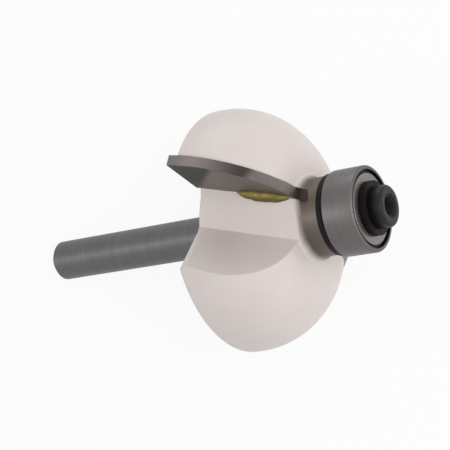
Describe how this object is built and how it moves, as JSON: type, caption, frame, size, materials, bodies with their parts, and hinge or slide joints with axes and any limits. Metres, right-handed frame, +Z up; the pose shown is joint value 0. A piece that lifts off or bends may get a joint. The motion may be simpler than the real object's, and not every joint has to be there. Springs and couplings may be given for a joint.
{
  "type": "router bit",
  "caption": "Two-wing cove router bit with a straight round shank, brazed carbide tips and a guide bearing screwed on its nose.",
  "frame": {"origin": "centre of the part's box on the surface it lies on", "axes": "+Z up; +X level, the way the nose points in plan; the bit's axis lies in the XZ plane with the nose raised; it rests on the shank's end, one cutting lip and the opposite heel"},
  "size_m": [0.0586, 0.037, 0.0336],
  "materials": {
    "painted_body": "satin white paint on the head, bare ground steel on shank and collar",
    "carbide": "ground tungsten carbide",
    "braze": "dull braze metal",
    "bearing_steel": "ground bearing steel",
    "cage_steel": "pressed steel",
    "seal_rubber": "black moulded rubber",
    "black_steel": "black oxide, lightly oiled"
  },
  "bodies": {
    "bit": {"body": "painted_body", "carbide_tip_1": "carbide", "carbide_tip_2": "carbide", "braze_1": "braze", "braze_2": "braze", "rear_washer": "black_steel", "bearing_inner_ring": "bearing_steel", "front_washer": "black_steel", "cap_screw": "black_steel"},
    "guide_ring": {"bearing_outer_ring": "bearing_steel", "bearing_rear_seal": "seal_rubber", "bearing_front_seal": "seal_rubber"},
    "ball_train": {"bearing_cage": "cage_steel", "bearing_ball_1": "bearing_steel", "bearing_ball_2": "bearing_steel", "bearing_ball_3": "bearing_steel", "bearing_ball_4": "bearing_steel", "bearing_ball_5": "bearing_steel", "bearing_ball_6": "bearing_steel", "bearing_ball_7": "bearing_steel"}
  },
  "joints": [
    {"name": "guide_ring_spin", "type": "hinge", "parent": "bit", "child": "guide_ring", "pos_m": [0.02331, 0, 0.02347], "axis": [0.9278, 0, 0.3732], "continuous": true},
    {"name": "ball_train_spin", "type": "hinge", "parent": "bit", "child": "ball_train", "pos_m": [0.02331, 0, 0.02347], "axis": [0.9278, 0, 0.3732], "continuous": true}
  ],
  "couplings": [
    {"joint": "ball_train_spin", "follows": "guide_ring_spin", "ratio": 0.636}
  ]
}
